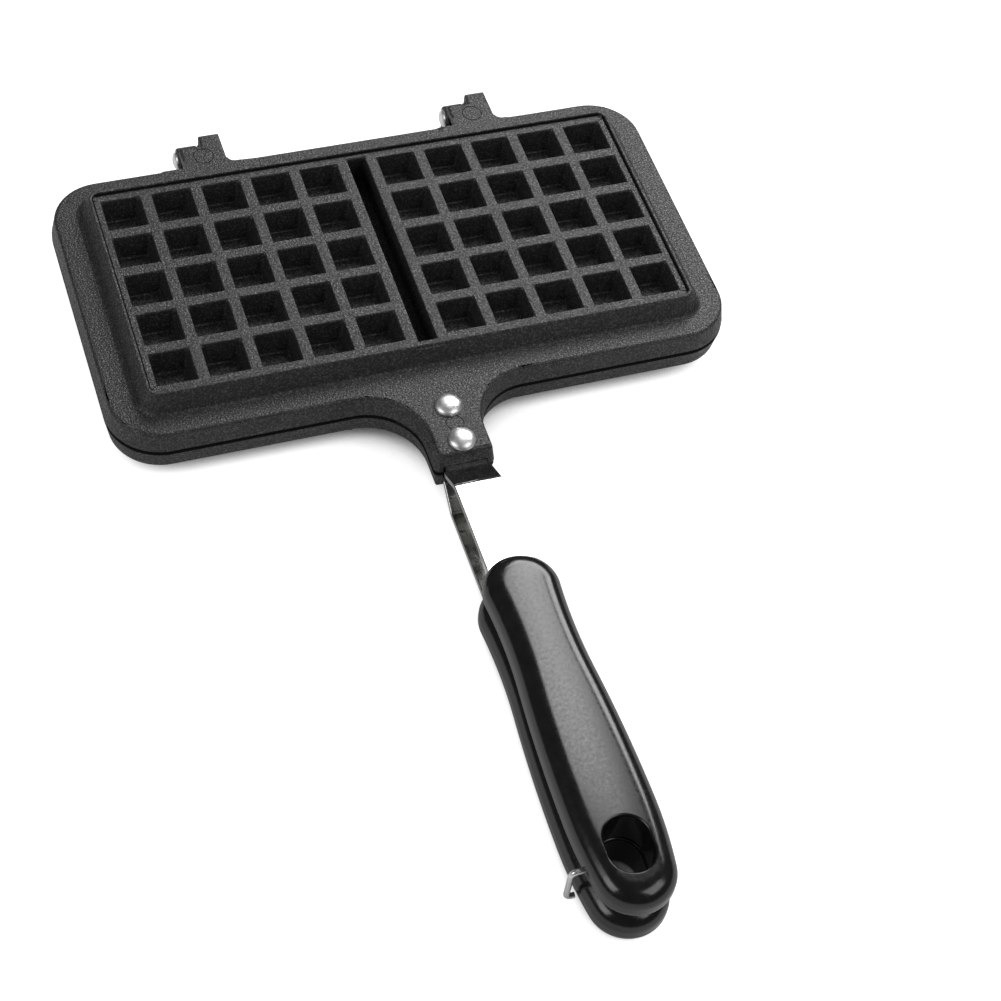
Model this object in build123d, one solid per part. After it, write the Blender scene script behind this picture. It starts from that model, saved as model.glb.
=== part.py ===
"""Stovetop waffle pan: two identical cast aluminium halves on a pair of rear hinge pins.

Each half carries a steel strap riveted to its neck and a moulded grip on the strap.
A wire hoop on the upper grip clips over the side of the lower one.
All lengths are millimetres. X runs across the pan, +Y towards the hinge, +Z up.
The halves are drawn in a half frame: origin at the middle of the mould, z = 0 on the
parting plane and z growing outwards. The upper half stands as drawn, and the lower
half is the same casting turned half round about Y.
"""
import os
from math import atan, degrees, sqrt

from build123d import *

# Mould grid
GRID_PITCH = 18.5
COLUMNS = 5
ROWS = 5
MIDDLE_PITCH = 29.7          # between the inner columns of the two waffles
POCKET_SIZE = 14.1           # pocket mouth
POCKET_DEPTH = 9.5
POCKET_DRAFT = 1.4           # each pocket wall leans in by this over its depth
POST_WALL = 1.8              # metal round a pocket
POST_END = 2.3               # metal under a pocket floor

# Casting heights above the parting plane
PARTING_GAP = 0.3            # between the two closed halves
FLANGE_HEIGHT = 8.5
FACE_HEIGHT = 15.0
LIP_HEIGHT = 16.2

# Casting outlines
FLANGE_LENGTH = 229.0        # along X, at the parting plane
FLANGE_WIDTH = 124.0         # along Y, at the parting plane
FLANGE_CORNER = 19.5
FLANGE_DRAFT = 1.5           # the side wall leans in by this over the flange height
BLOCK_LENGTH = 207.2         # foot of the raised block
BLOCK_WIDTH = 104.8
BLOCK_CORNER = 7.6
BLOCK_DRAFT = 3.6            # the block wall leans in by this from flange to lip
LIP_WIDTH = 1.2
SIDE_WALL = 3.2
PLATE_WALL = 3.0
CAVITY_DRAFT = 1.6

# Divider between the two waffles
DIVIDER_SLOT = 7.0
DIVIDER_LENGTH = 90.7
DIVIDER_WALL = 2.2
DIVIDER_END = 2.3

# Hinge
HINGE_SPACING = 105.4        # between the middles of the two hinges
PIN_OFFSET = 11.0            # pin axis behind the flange at the parting plane
PIN_RADIUS = 2.0
PIN_CLEARANCE = 0.06
PIN_HEAD_RADIUS = 3.5
PIN_HEAD_HEIGHT = 1.7
PIN_TAIL_RADIUS = 2.9
PIN_TAIL_HEIGHT = 1.0
KNUCKLE_RADIUS = 4.7
KNUCKLE_WIDTH = 8.0
KNUCKLE_GAP = 0.4            # between the two halves' knuckles
ROOF_THICKNESS = 3.0
PIN_END_CLEARANCE = 0.1      # between a knuckle and a pin head
TAIL_REACH = 2.9             # square tail behind the pin axis
ROOF_REACH = -2.1            # end of the roof, seen from the pin axis
EAR_ROOT_FILLET = 3.0

# Neck
NECK_WIDTH = 19.2            # at its top
NECK_SPREAD = 1.5            # each side leans out by this at the parting plane
NECK_REACH = 30.9            # beyond the flange at the parting plane
NECK_BED = 3.0               # underside of the neck, above the parting plane
NECK_ROOT_FILLET = 20.0
NECK_TIP_FILLET = 2.2
RECESS_WIDTH = 15.6          # room for the strap between the neck's side walls
RECESS_START = 4.0           # recess's inner end, beyond the flange

# Strap
STRAP_WIDTH = 17.0
STRAP_SEAT_WIDTH = 15.2      # narrowed to fit the neck
STRAP_SEAT_REACH = 32.0      # end of the narrowed length, beyond the flange
STRAP_THICKNESS = 2.0
STRAP_START = 4.4            # strap's inner end, beyond the flange
STRAP_RISE_START = 33.0      # joggle, beyond the flange
STRAP_RISE_RUN = 10.0
STRAP_RISE = 5.5
STRAP_BEND = 4.0
TANG_WIDTH = 12.0            # inside the grip
TANG_START = 3.0             # behind the grip's front end
STRAP_END = 164.0            # end of the tang, beyond the flange

# Rivets
RIVET_FIRST = 9.0            # first rivet, beyond the flange
RIVET_SPACING = 15.3
RIVET_RADIUS = 2.2
RIVET_CLEARANCE = 0.01
RIVET_HEAD_RADIUS = 5.0
RIVET_HEAD_HEIGHT = 2.5
RIVET_TAIL_RADIUS = 3.8
RIVET_TAIL_HEIGHT = 0.6

# Grip
GRIP_START = 76.3            # front end of the grip, beyond the flange
GRIP_LENGTH = 132.6
GRIP_RAISE = 7.7             # middle of the grip above the parting plane
GRIP_THICKNESS = 14.4
GRIP_EDGE = 5.6              # rounding of its top and bottom edges
GRIP_HALF_WIDTH = 15.0       # at its widest
GRIP_WIDEST = 97.4           # widest place, behind the front end
GRIP_NOSE_RADIUS = 13.0      # plan arcs, from the front end to the tip
GRIP_WAIST_RADIUS = 200.0
GRIP_SWELL_RADIUS = 576.0
GRIP_TIP_RADIUS = 13.2

# Hanging hole
HANG_FROM_TIP = 19.8
HANG_WIDTH = 14.6
HANG_LENGTH = 19.3
HANG_EDGE = 0.7

# Locking hoop
HOOP_FROM_TIP = 19.4
HOOP_PIVOT_HEIGHT = 5.0      # above the parting plane
HOOP_DROP = 15.5             # pivot to the turned-in end
HOOP_OUT = 17.5              # wire's middle, from the middle of the grips
HOOP_END = 14.65             # inner end of the catch, from the middle of the grips
HOOP_INNER = 9.2             # inner end of the pivot, from the middle of the grips
HOOP_BORE_END = 8.9
HOOP_WIRE_RADIUS = 1.0
HOOP_BEND = 2.0
HOOP_BORE_CLEARANCE = 0.06

# Places worked out from the sizes above
FLANGE_FRONT = -FLANGE_WIDTH / 2
FLANGE_BACK = FLANGE_WIDTH / 2
PIN_Y = FLANGE_BACK + PIN_OFFSET
GRIP_FRONT = FLANGE_FRONT - GRIP_START
GRIP_TIP = GRIP_FRONT - GRIP_LENGTH
STRAP_LOW = NECK_BED - STRAP_THICKNESS / 2
STRAP_HIGH = STRAP_LOW + STRAP_RISE
STAND = Pos(0, 0, LIP_HEIGHT)
LOW = PARTING_GAP / 2


def lean(run, rise):
    """Taper angle, in degrees, of a wall that leans by run over rise."""
    return degrees(atan(run / rise))


def tapered(outline, z, height, run):
    """Frustum on outline at height z, drawn in by run over its height."""
    return extrude(Pos(0, 0, z) * outline, amount=height, taper=lean(run, height))


def column_places():
    inner = MIDDLE_PITCH / 2
    right = [inner + GRID_PITCH * i for i in range(COLUMNS)]
    return [-x for x in reversed(right)] + right


def grid_places():
    rows = [GRID_PITCH * (j - (ROWS - 1) / 2) for j in range(ROWS)]
    return [Pos(x, y, 0) for x in column_places() for y in rows]


def frustum(side, depth, draft):
    """Square frustum hanging from the face, each wall leaning in by draft."""
    small = side - 2 * draft
    solid = Solid.make_wedge(side, depth, side, draft, draft, draft + small, draft + small)
    return Pos(0, 0, FACE_HEIGHT) * Rot(-90, 0, 0) * Pos(-side / 2, 0, -side / 2) * solid


def pocket():
    return frustum(POCKET_SIZE, POCKET_DEPTH, POCKET_DRAFT)


def post():
    """Metal round one pocket, from the face down to its closed end."""
    depth = POCKET_DEPTH + POST_END
    draft = POCKET_DRAFT * depth / POCKET_DEPTH
    return frustum(POCKET_SIZE + 2 * POST_WALL, depth, draft)


def divider():
    """Ridge between the waffles, and the slot that hollows it from outside."""
    foot = LOW + DIVIDER_END
    width = DIVIDER_SLOT + 2 * DIVIDER_WALL
    ridge = Pos(0, 0, LOW) * Box(width, BLOCK_WIDTH - 2 * PLATE_WALL, FACE_HEIGHT - LOW,
                                 align=(Align.CENTER, Align.CENTER, Align.MIN))
    slot = Pos(0, 0, foot) * Box(DIVIDER_SLOT, DIVIDER_LENGTH, LIP_HEIGHT,
                                 align=(Align.CENTER, Align.CENTER, Align.MIN))
    return ridge, slot


def neck_plan(grow):
    """Plan of the neck, flared into the flange by two root fillets."""
    half = NECK_WIDTH / 2 + grow
    tip = FLANGE_FRONT - NECK_REACH + FLANGE_DRAFT - grow
    root = NECK_ROOT_FILLET
    edge = FLANGE_FRONT + FLANGE_DRAFT - grow
    with BuildSketch() as plan:
        with BuildLine():
            Line((-half - root, edge + root), (-half - root, edge))
            RadiusArc((-half - root, edge), (-half, edge - root), root)
            Line((-half, edge - root), (-half, tip))
            Line((-half, tip), (half, tip))
            Line((half, tip), (half, edge - root))
            RadiusArc((half, edge - root), (half + root, edge), root)
            Line((half + root, edge), (half + root, edge + root))
            Line((half + root, edge + root), (-half - root, edge + root))
        make_face()
        fillet(plan.vertices().sort_by(Axis.Y)[:2], NECK_TIP_FILLET)
    return plan.sketch


def neck():
    """Tongue that carries the strap, drafted like the flange."""
    return tapered(neck_plan(NECK_SPREAD), LOW, FLANGE_HEIGHT - LOW, NECK_SPREAD)


def neck_recess():
    """Room for the strap under the neck, open at the front."""
    start = FLANGE_FRONT - RECESS_START
    return Pos(0, start, 0) * Box(RECESS_WIDTH, NECK_REACH * 2, NECK_BED,
                                  align=(Align.CENTER, Align.MAX, Align.MIN))


def ear(middle):
    """One hinge ear: a full knuckle with its square tail, and a roof beside it."""
    edge = FLANGE_BACK - FLANGE_DRAFT
    root = edge - SIDE_WALL / 2
    near = KNUCKLE_GAP / 2
    far = near + KNUCKLE_WIDTH
    tail = PIN_Y + TAIL_REACH
    flare = EAR_ROOT_FILLET
    with BuildSketch() as plan:
        with BuildLine():
            Polyline((far + flare, edge), (far + flare, root), (near, root), (near, tail),
                     (far, tail), (far, edge + flare))
            RadiusArc((far, edge + flare), (far + flare, edge), -flare)
        make_face()
    arm = extrude(Pos(0, 0, LOW) * plan.sketch, amount=FLANGE_HEIGHT - LOW)
    turn = Rot(0, 90, 0) * Cylinder(KNUCKLE_RADIUS, KNUCKLE_WIDTH)
    knuckle = arm + Pos((near + far) / 2, PIN_Y, 0) * turn
    roof = Box(far + near, PIN_Y + ROOF_REACH - root, ROOF_THICKNESS, align=Align.MIN)
    roof = Pos(-far, root, FLANGE_HEIGHT - ROOF_THICKNESS) * roof
    return Pos(middle, 0, 0) * (knuckle + roof)


def casting():
    """One cast half, in the half frame."""
    height = FLANGE_HEIGHT - LOW
    outline = RectangleRounded(FLANGE_LENGTH, FLANGE_WIDTH, FLANGE_CORNER)
    body = tapered(outline, LOW, height, FLANGE_DRAFT)
    body += neck()
    for middle in (-HINGE_SPACING / 2, HINGE_SPACING / 2):
        body += ear(middle)
    rise = LIP_HEIGHT - FLANGE_HEIGHT
    block = RectangleRounded(BLOCK_LENGTH, BLOCK_WIDTH, BLOCK_CORNER)
    body += tapered(block, FLANGE_HEIGHT, rise, BLOCK_DRAFT)
    # overflow gutter under the flange, outside the mould ring
    gutter = tapered(
        RectangleRounded(FLANGE_LENGTH - 2 * SIDE_WALL, FLANGE_WIDTH - 2 * SIDE_WALL,
                         FLANGE_CORNER - SIDE_WALL),
        0, FLANGE_HEIGHT - PLATE_WALL, FLANGE_DRAFT * (1 - PLATE_WALL / FLANGE_HEIGHT))
    body -= gutter - extrude(block, amount=FLANGE_HEIGHT)
    # waffle chamber
    inner = RectangleRounded(BLOCK_LENGTH - 2 * PLATE_WALL, BLOCK_WIDTH - 2 * PLATE_WALL,
                             BLOCK_CORNER - PLATE_WALL)
    body -= tapered(inner, 0, FACE_HEIGHT - PLATE_WALL, CAVITY_DRAFT)
    # sunken face inside the lip
    face = RectangleRounded(BLOCK_LENGTH - 2 * (BLOCK_DRAFT + LIP_WIDTH),
                            BLOCK_WIDTH - 2 * (BLOCK_DRAFT + LIP_WIDTH),
                            BLOCK_CORNER - BLOCK_DRAFT - LIP_WIDTH)
    body -= extrude(Pos(0, 0, FACE_HEIGHT) * face, amount=LIP_HEIGHT)
    ridge, slot = divider()
    body += ridge
    body += [place * post() for place in grid_places()]
    body -= [place * pocket() for place in grid_places()]
    body -= slot
    body -= neck_recess()
    # pin bores and rivet holes
    bore = Rot(0, 90, 0) * Cylinder(PIN_RADIUS + PIN_CLEARANCE, HINGE_SPACING * 2)
    body -= Pos(0, PIN_Y, 0) * bore
    for y in rivet_places():
        body -= Pos(0, y, FLANGE_HEIGHT) * Cylinder(RIVET_RADIUS + RIVET_CLEARANCE, 2 * FLANGE_HEIGHT)
    return body


def rivet_places():
    first = FLANGE_FRONT - RIVET_FIRST
    return [first, first - RIVET_SPACING]


def strap_path():
    start = FLANGE_FRONT - STRAP_START
    foot = FLANGE_FRONT - STRAP_RISE_START
    crest = foot - STRAP_RISE_RUN
    end = FLANGE_FRONT - STRAP_END
    return FilletPolyline((0, start, STRAP_LOW), (0, foot, STRAP_LOW), (0, crest, STRAP_HIGH),
                          (0, end, STRAP_HIGH), radius=STRAP_BEND)


def strap_plan():
    """Strap seen from above: narrow in the neck, full width, narrow in the grip."""
    start = FLANGE_FRONT - STRAP_START
    shoulder = FLANGE_FRONT - STRAP_SEAT_REACH
    tang = GRIP_FRONT - TANG_START
    end = FLANGE_FRONT - STRAP_END
    seat = STRAP_SEAT_WIDTH / 2
    half = STRAP_WIDTH / 2
    inner = TANG_WIDTH / 2
    right = [(seat, start), (seat, shoulder), (half, shoulder - (half - seat)), (half, tang),
             (inner, tang), (inner, end)]
    left = [(-x, y) for x, y in reversed(right)]
    return make_face(Polyline(*right, *left, close=True))


def strap():
    """Flat steel strap, joggled outwards between neck and grip."""
    path = strap_path()
    section = Plane(origin=path @ 0, z_dir=path % 0, x_dir=(1, 0, 0))
    flat = sweep(section * Rectangle(STRAP_WIDTH, STRAP_THICKNESS), path=path)
    return flat & extrude(strap_plan(), amount=GRIP_RAISE + GRIP_THICKNESS)


def drilled_strap():
    body = strap()
    for y in rivet_places():
        body -= Pos(0, y, STRAP_LOW) * Cylinder(RIVET_RADIUS + RIVET_CLEARANCE, FLANGE_HEIGHT)
    return body


def dome(radius, height):
    """Spherical cap standing on z = 0."""
    ball_radius = (radius ** 2 + height ** 2) / (2 * height)
    ball = Pos(0, 0, height - ball_radius) * Sphere(ball_radius)
    return ball & Cylinder(ball_radius, 2 * height, align=(Align.CENTER, Align.CENTER, Align.MIN))


def rivet(y):
    """Domed rivet through neck and strap, with its formed end under the strap."""
    low = STRAP_LOW - STRAP_THICKNESS / 2
    cap = Pos(0, 0, FLANGE_HEIGHT) * dome(RIVET_HEAD_RADIUS, RIVET_HEAD_HEIGHT)
    shank = Pos(0, 0, low) * Cylinder(
        RIVET_RADIUS, FLANGE_HEIGHT - low, align=(Align.CENTER, Align.CENTER, Align.MIN))
    tail = Pos(0, 0, low) * Cylinder(
        RIVET_TAIL_RADIUS, RIVET_TAIL_HEIGHT, align=(Align.CENTER, Align.CENTER, Align.MAX))
    return Pos(0, y, 0) * (cap + shank + tail)


def hinge_pin(middle):
    """Rivet-like steel pin: domed head on the left, formed end on the right."""
    reach = KNUCKLE_GAP / 2 + KNUCKLE_WIDTH + PIN_END_CLEARANCE
    shank = Cylinder(PIN_RADIUS, 2 * reach)
    head = Pos(0, 0, -reach) * Rot(180, 0, 0) * dome(PIN_HEAD_RADIUS, PIN_HEAD_HEIGHT)
    tail = Pos(0, 0, reach) * Cylinder(
        PIN_TAIL_RADIUS, PIN_TAIL_HEIGHT, align=(Align.CENTER, Align.CENTER, Align.MIN))
    return Pos(middle, PIN_Y, 0) * Rot(0, 90, 0) * (shank + head + tail)


def tangent_centre(first, first_radius, second, second_radius, radius):
    """Centre of the circle of that radius that touches two others from outside."""
    gap = second - first
    near = first_radius + radius
    far = second_radius + radius
    along = (near ** 2 - far ** 2 + gap.length ** 2) / (2 * gap.length)
    out = sqrt(near ** 2 - along ** 2)
    way = gap.normalized()
    return first + way * along + Vector(-way.Y, way.X) * out


def toward(start, end, distance):
    return start + (end - start).normalized() * distance


def plan_arc(centre, start, end):
    """Arc about centre, by the short way from start to end."""
    middle = toward(centre, (start + end) / 2, (start - centre).length)
    return ThreePointArc(start, middle, end)


def grip_outline():
    """Plan of the grip: tangent arcs for nose, waist, swell, shoulder and tip."""
    widest = Vector(GRIP_HALF_WIDTH, GRIP_FRONT - GRIP_WIDEST)
    nose = Vector(0, GRIP_FRONT - GRIP_NOSE_RADIUS)
    swell = widest - Vector(GRIP_SWELL_RADIUS, 0)
    tip = Vector(0, GRIP_TIP + GRIP_TIP_RADIUS)
    waist = tangent_centre(nose, GRIP_NOSE_RADIUS, swell, GRIP_SWELL_RADIUS, GRIP_WAIST_RADIUS)
    back = widest.Y - tip.Y
    shoulder_radius = ((GRIP_HALF_WIDTH ** 2 + back ** 2 - GRIP_TIP_RADIUS ** 2)
                       / (2 * (GRIP_HALF_WIDTH - GRIP_TIP_RADIUS)))
    shoulder = widest - Vector(shoulder_radius, 0)
    front_end = Vector(0, GRIP_FRONT)
    nose_end = toward(nose, waist, GRIP_NOSE_RADIUS)
    waist_end = toward(waist, swell, GRIP_WAIST_RADIUS)
    shoulder_end = toward(shoulder, tip, shoulder_radius)
    tip_end = Vector(0, GRIP_TIP)
    side = [
        plan_arc(nose, front_end, nose_end),
        plan_arc(waist, nose_end, waist_end),
        plan_arc(swell, waist_end, widest),
        plan_arc(shoulder, widest, shoulder_end),
        plan_arc(tip, shoulder_end, tip_end),
    ]
    return make_face(side + [mirror(arc, about=Plane.YZ) for arc in side])


def grip():
    """Moulded grip with the strap's tang set in it and a hanging hole near the tip."""
    base = GRIP_RAISE - GRIP_THICKNESS / 2
    body = extrude(Pos(0, 0, base) * grip_outline(), amount=GRIP_THICKNESS)
    rims = body.edges().group_by(Axis.Z)
    body = fillet(rims[0] + rims[-1], GRIP_EDGE)
    slot = Pos(0, GRIP_TIP + HANG_FROM_TIP, base) * SlotOverall(HANG_LENGTH, HANG_WIDTH, rotation=90)
    body -= extrude(slot, amount=GRIP_THICKNESS)
    flats = body.faces().filter_by(Axis.Z).sort_by(Axis.Z)
    rims = flats[0].inner_wires().edges() + flats[-1].inner_wires().edges()
    body = chamfer(rims, HANG_EDGE)
    return body - strap()


def hoop_bore(height):
    """Blind side bore for the pivot end of the hoop."""
    radius = HOOP_WIRE_RADIUS + HOOP_BORE_CLEARANCE
    bore = Rot(0, 90, 0) * Cylinder(radius, HOOP_OUT, align=(Align.CENTER, Align.CENTER, Align.MAX))
    return Pos(-HOOP_BORE_END, GRIP_TIP + HOOP_FROM_TIP, height) * bore


def locking_hoop():
    """Bent wire: pivot end in the upper grip, catch end beside the lower grip."""
    y = GRIP_TIP + HOOP_FROM_TIP
    top = HOOP_PIVOT_HEIGHT
    low = top - HOOP_DROP
    path = FilletPolyline((-HOOP_INNER, y, top), (-HOOP_OUT, y, top),
                          (-HOOP_OUT, y, low), (-HOOP_END, y, low), radius=HOOP_BEND)
    section = Plane(origin=path @ 0, z_dir=path % 0)
    return sweep(section * Circle(HOOP_WIRE_RADIUS), path=path)


def stand_upper(shape):
    return STAND * shape


def stand_lower(shape):
    return STAND * Rot(0, 180, 0) * shape


def build_parts():
    plate = casting()
    bar = drilled_strap()
    handle = grip()
    front_y, rear_y = rivet_places()[1], rivet_places()[0]
    parts = {
        "lower_plate": stand_lower(plate),
        "upper_plate": stand_upper(plate),
        "lower_strap": stand_lower(bar),
        "upper_strap": stand_upper(bar),
        "lower_grip": stand_lower(handle),
        "upper_grip": stand_upper(handle - hoop_bore(HOOP_PIVOT_HEIGHT)),
        "lower_front_rivet": stand_lower(rivet(front_y)),
        "lower_rear_rivet": stand_lower(rivet(rear_y)),
        "upper_front_rivet": stand_upper(rivet(front_y)),
        "upper_rear_rivet": stand_upper(rivet(rear_y)),
        "left_hinge_pin": STAND * hinge_pin(-HINGE_SPACING / 2),
        "right_hinge_pin": STAND * hinge_pin(HINGE_SPACING / 2),
        "locking_hoop": STAND * locking_hoop(),
    }
    return parts


def main():
    os.makedirs("parts", exist_ok=True)
    for name, shape in build_parts().items():
        export_step(shape, f"parts/{name}.step")
    print("pin axis y", PIN_Y, "z", LIP_HEIGHT)
    print("hoop axis y", GRIP_TIP + HOOP_FROM_TIP, "z", LIP_HEIGHT + HOOP_PIVOT_HEIGHT)


if __name__ == "__main__":
    main()
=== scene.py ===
from math import atan2, cos, hypot, pi, radians, sin, sqrt, tan

import bmesh
import bpy
import numpy as np
from mathutils import Matrix, Vector


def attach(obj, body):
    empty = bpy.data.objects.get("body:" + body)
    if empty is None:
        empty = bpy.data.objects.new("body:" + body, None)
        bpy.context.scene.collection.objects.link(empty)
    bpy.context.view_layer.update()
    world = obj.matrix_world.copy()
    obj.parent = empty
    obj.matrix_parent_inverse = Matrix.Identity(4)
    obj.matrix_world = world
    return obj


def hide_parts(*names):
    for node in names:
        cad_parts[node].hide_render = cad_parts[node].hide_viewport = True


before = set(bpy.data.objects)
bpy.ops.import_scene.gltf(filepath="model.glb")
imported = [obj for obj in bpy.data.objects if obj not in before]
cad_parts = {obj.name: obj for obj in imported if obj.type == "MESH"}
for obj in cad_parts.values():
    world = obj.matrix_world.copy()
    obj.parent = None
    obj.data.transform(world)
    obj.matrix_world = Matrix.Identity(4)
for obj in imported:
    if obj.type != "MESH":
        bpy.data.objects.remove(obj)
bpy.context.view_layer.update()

# Sizes in metres, as the solids have them
MM = 0.001
PARTING = 16.2 * MM
FLANGE_TOP = 8.5 * MM
RIVET_PLACES = (-71.0 * MM, -86.3 * MM)
RIVET_HEAD_RADIUS = 5.0 * MM
RIVET_HEAD_HEIGHT = 2.5 * MM
RIVET_FOOT = 1.0 * MM
RIVET_SHANK_RADIUS = 2.2 * MM
RIVET_TAIL_RADIUS = 3.8 * MM
RIVET_TAIL_HEIGHT = 0.6 * MM
PIN_Y = 73.0 * MM
HINGE_MIDDLES = (-52.7 * MM, 52.7 * MM)
PIN_REACH = 8.3 * MM
PIN_HEAD_RADIUS = 3.5 * MM
PIN_HEAD_HEIGHT = 1.7 * MM
PIN_SHANK_RADIUS = 2.0 * MM
PIN_TAIL_RADIUS = 2.9 * MM
PIN_TAIL_HEIGHT = 1.0 * MM
STRAP_HALF_WIDTH = 8.5 * MM
STRAP_HALF_SEAT = 7.6 * MM
STRAP_HALF_TANG = 6.0 * MM
STRAP_HALF_THICKNESS = 1.0 * MM
STRAP_SEAT_HEIGHT = 2.0 * MM
STRAP_TANG_HEIGHT = 7.5 * MM
STRAP_ROUTE = (
    (-66.4 * MM, STRAP_SEAT_HEIGHT),
    (-95.0 * MM, STRAP_SEAT_HEIGHT),
    (-105.0 * MM, STRAP_TANG_HEIGHT),
    (-226.0 * MM, STRAP_TANG_HEIGHT),
)
STRAP_BEND = 4.0 * MM
STRAP_SOFT_EDGE = 0.35 * MM
STRAP_SHOULDER = -94.0 * MM
GRIP_FRONT = -138.3 * MM
GRIP_TIP = -270.9 * MM
GRIP_MIDDLE = 7.7 * MM
GRIP_HALF_HEIGHT = 7.2 * MM
GRIP_HALF_WIDTH = 15.0 * MM
GRIP_WIDEST = GRIP_FRONT - 97.4 * MM
NOSE_RADIUS = 13.0 * MM
WAIST_RADIUS = 200.0 * MM
SWELL_RADIUS = 576.0 * MM
TIP_RADIUS = 13.2 * MM
HANG_PLACE = -251.1 * MM
HANG_WIDTH = 14.6 * MM
HANG_LENGTH = 19.3 * MM
HOOP_Y = -251.5 * MM
HOOP_TOP = 5.0 * MM
HOOP_LOW = -10.5 * MM
HOOP_OUT = -17.5 * MM
HOOP_INNER = -9.2 * MM
HOOP_END = -14.65 * MM
HOOP_WIRE = 1.0 * MM
HOOP_BEND = 2.0 * MM
NECK_MARK_RADIUS = 3.1 * MM
EAR_MARK_RADIUS = 3.7 * MM
EAR_MARK_Y = 65.2 * MM
MARK_LINE_RADIUS = 0.12 * MM

# Plan and levels of one casting in millimetres, with levels counted from the parting plane
FLANGE_HALF = (114.5, 62.0)
FLANGE_CORNER = 19.5
RIM_WIDTH = 2.8
FACE_HALF = (98.8, 47.6)
BLOCK_FOOT_HALF = (104.5, 53.5)
DIVIDER_HALF_SLOT = 3.5
EAR_ROOTS = (41.5, 63.9)
EAR_ROOT_Y = 60.5
EAR_ROOT_REACH = 4.0
EARS_START = 59.0
NECK_START = -62.5
RIM_FOOT_LEVEL = 1.0
POST_END_LEVEL = 3.2
POCKET_FLOOR_LEVEL = 5.5
FLANGE_LEVEL = 8.5
CHAMBER_ROOF_LEVEL = 12.0
FACE_LEVEL = 15.0
LEVEL_SLACK = 0.2
POST_END_SLACK = 0.1

# Rounding of the casting's edges in millimetres
SEAM_ROUND = 0.8
GUTTER_ROUND = 0.4
POST_ROUND = 0.5
POCKET_CORNER_ROUND = 1.5
DIVIDER_ROUND = 0.9
LIP_FOOT_ROUND = 0.6
POCKET_MOUTH_ROUND = 0.4
POCKET_FLOOR_ROUND = 0.5
LIP_TOP_ROUND = 0.35
BLOCK_FOOT_ROUND = 1.2
FLANGE_ROUND = 0.9
EAR_AND_NECK_ROUND = 0.4
WIDEST_ROUND = 2.0

# Angles in degrees over which an edge is sharp
CAST_SHARP = 28
CAST_CREASE = 45
GRIP_CREASE = 25
SMALL_PART_CREASE = 40


# Mesh helpers

def new_object(name, mesh):
    """Object in the scene that holds a mesh."""
    made = bpy.data.objects.new(name, mesh)
    bpy.context.scene.collection.objects.link(made)
    return made


def mesh_from(name, points, faces):
    """Mesh of the given points and faces, in metres."""
    mesh = bpy.data.meshes.new(name)
    mesh.from_pydata([tuple(p) for p in points], [], faces)
    mesh.update()
    return mesh


def smooth(mesh):
    """Smooth shading on every face."""
    mesh.polygons.foreach_set("use_smooth", [True] * len(mesh.polygons))
    mesh.update()


def upper_to_lower(mesh, name):
    """Copy of an upper-half mesh, turned half round about the pan's length."""
    turned = mesh.copy()
    turned.name = name
    about = Matrix.Translation((0, 0, PARTING))
    turned.transform(about @ Matrix.Rotation(pi, 4, "Y") @ about.inverted())
    turned.update()
    return turned


def apply_modifiers(item, name):
    """Plain mesh of the evaluated object, with its modifiers taken off."""
    graph = bpy.context.evaluated_depsgraph_get()
    mesh = bpy.data.meshes.new_from_object(item.evaluated_get(graph))
    mesh.name = name
    item.modifiers.clear()
    item.data = mesh
    return item


def shade_with_creases(item, name, crease):
    """Smooth shading with large faces kept flat, broken at edges sharper than the crease angle."""
    shape = bmesh.new()
    shape.from_mesh(item.data)
    for edge in shape.edges:
        if edge.calc_face_angle(0) > radians(crease):
            edge.smooth = False
    shape.to_mesh(item.data)
    shape.free()
    item.modifiers.new("flat faces", "WEIGHTED_NORMAL").keep_sharp = True
    return apply_modifiers(item, name)


# Materials

def maths(tree, operation, *values):
    """Math node over one or two values."""
    node = tree.nodes.new("ShaderNodeMath")
    node.operation = operation
    for socket, value in zip(node.inputs, values):
        if isinstance(value, bpy.types.NodeSocket):
            tree.links.new(value, socket)
        else:
            socket.default_value = value
    return node.outputs[0]


def node_material(name, viewport):
    """New material with its node tree and its shader."""
    material = bpy.data.materials.new(name)
    material.use_nodes = True
    material.diffuse_color = (*viewport, 1)
    tree = material.node_tree
    shader = tree.nodes["Principled BSDF"]
    return material, tree, shader


def object_noise(tree, scale, detail, roughness=0.5, stretch=(1, 1, 1)):
    """Noise fixed to the object, so it moves with the piece."""
    coords = tree.nodes.new("ShaderNodeTexCoord")
    mapping = tree.nodes.new("ShaderNodeMapping")
    mapping.inputs["Scale"].default_value = stretch
    noise = tree.nodes.new("ShaderNodeTexNoise")
    noise.inputs["Scale"].default_value = scale
    noise.inputs["Detail"].default_value = detail
    noise.inputs["Roughness"].default_value = roughness
    tree.links.new(coords.outputs["Object"], mapping.inputs["Vector"])
    tree.links.new(mapping.outputs["Vector"], noise.inputs["Vector"])
    return noise.outputs["Fac"]


def ramp(tree, source, stops):
    """Value or colour by share of the source, from stops of place and value."""
    node = tree.nodes.new("ShaderNodeValToRGB")
    elements = node.color_ramp.elements
    while len(elements) < len(stops):
        elements.new(0.5)
    for element, (place, value) in zip(elements, stops):
        element.position = place
        element.color = (*value, 1) if isinstance(value, tuple) else (value, value, value, 1)
    tree.links.new(source, node.inputs["Fac"])
    return node.outputs["Color"]


def bump(tree, source, height, strength, normal=None):
    """Normal bent by the source, over another normal where one is given."""
    node = tree.nodes.new("ShaderNodeBump")
    node.inputs["Distance"].default_value = height
    node.inputs["Strength"].default_value = strength
    tree.links.new(source, node.inputs["Height"])
    if normal is not None:
        tree.links.new(normal, node.inputs["Normal"])
    return node.outputs["Normal"]


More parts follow.
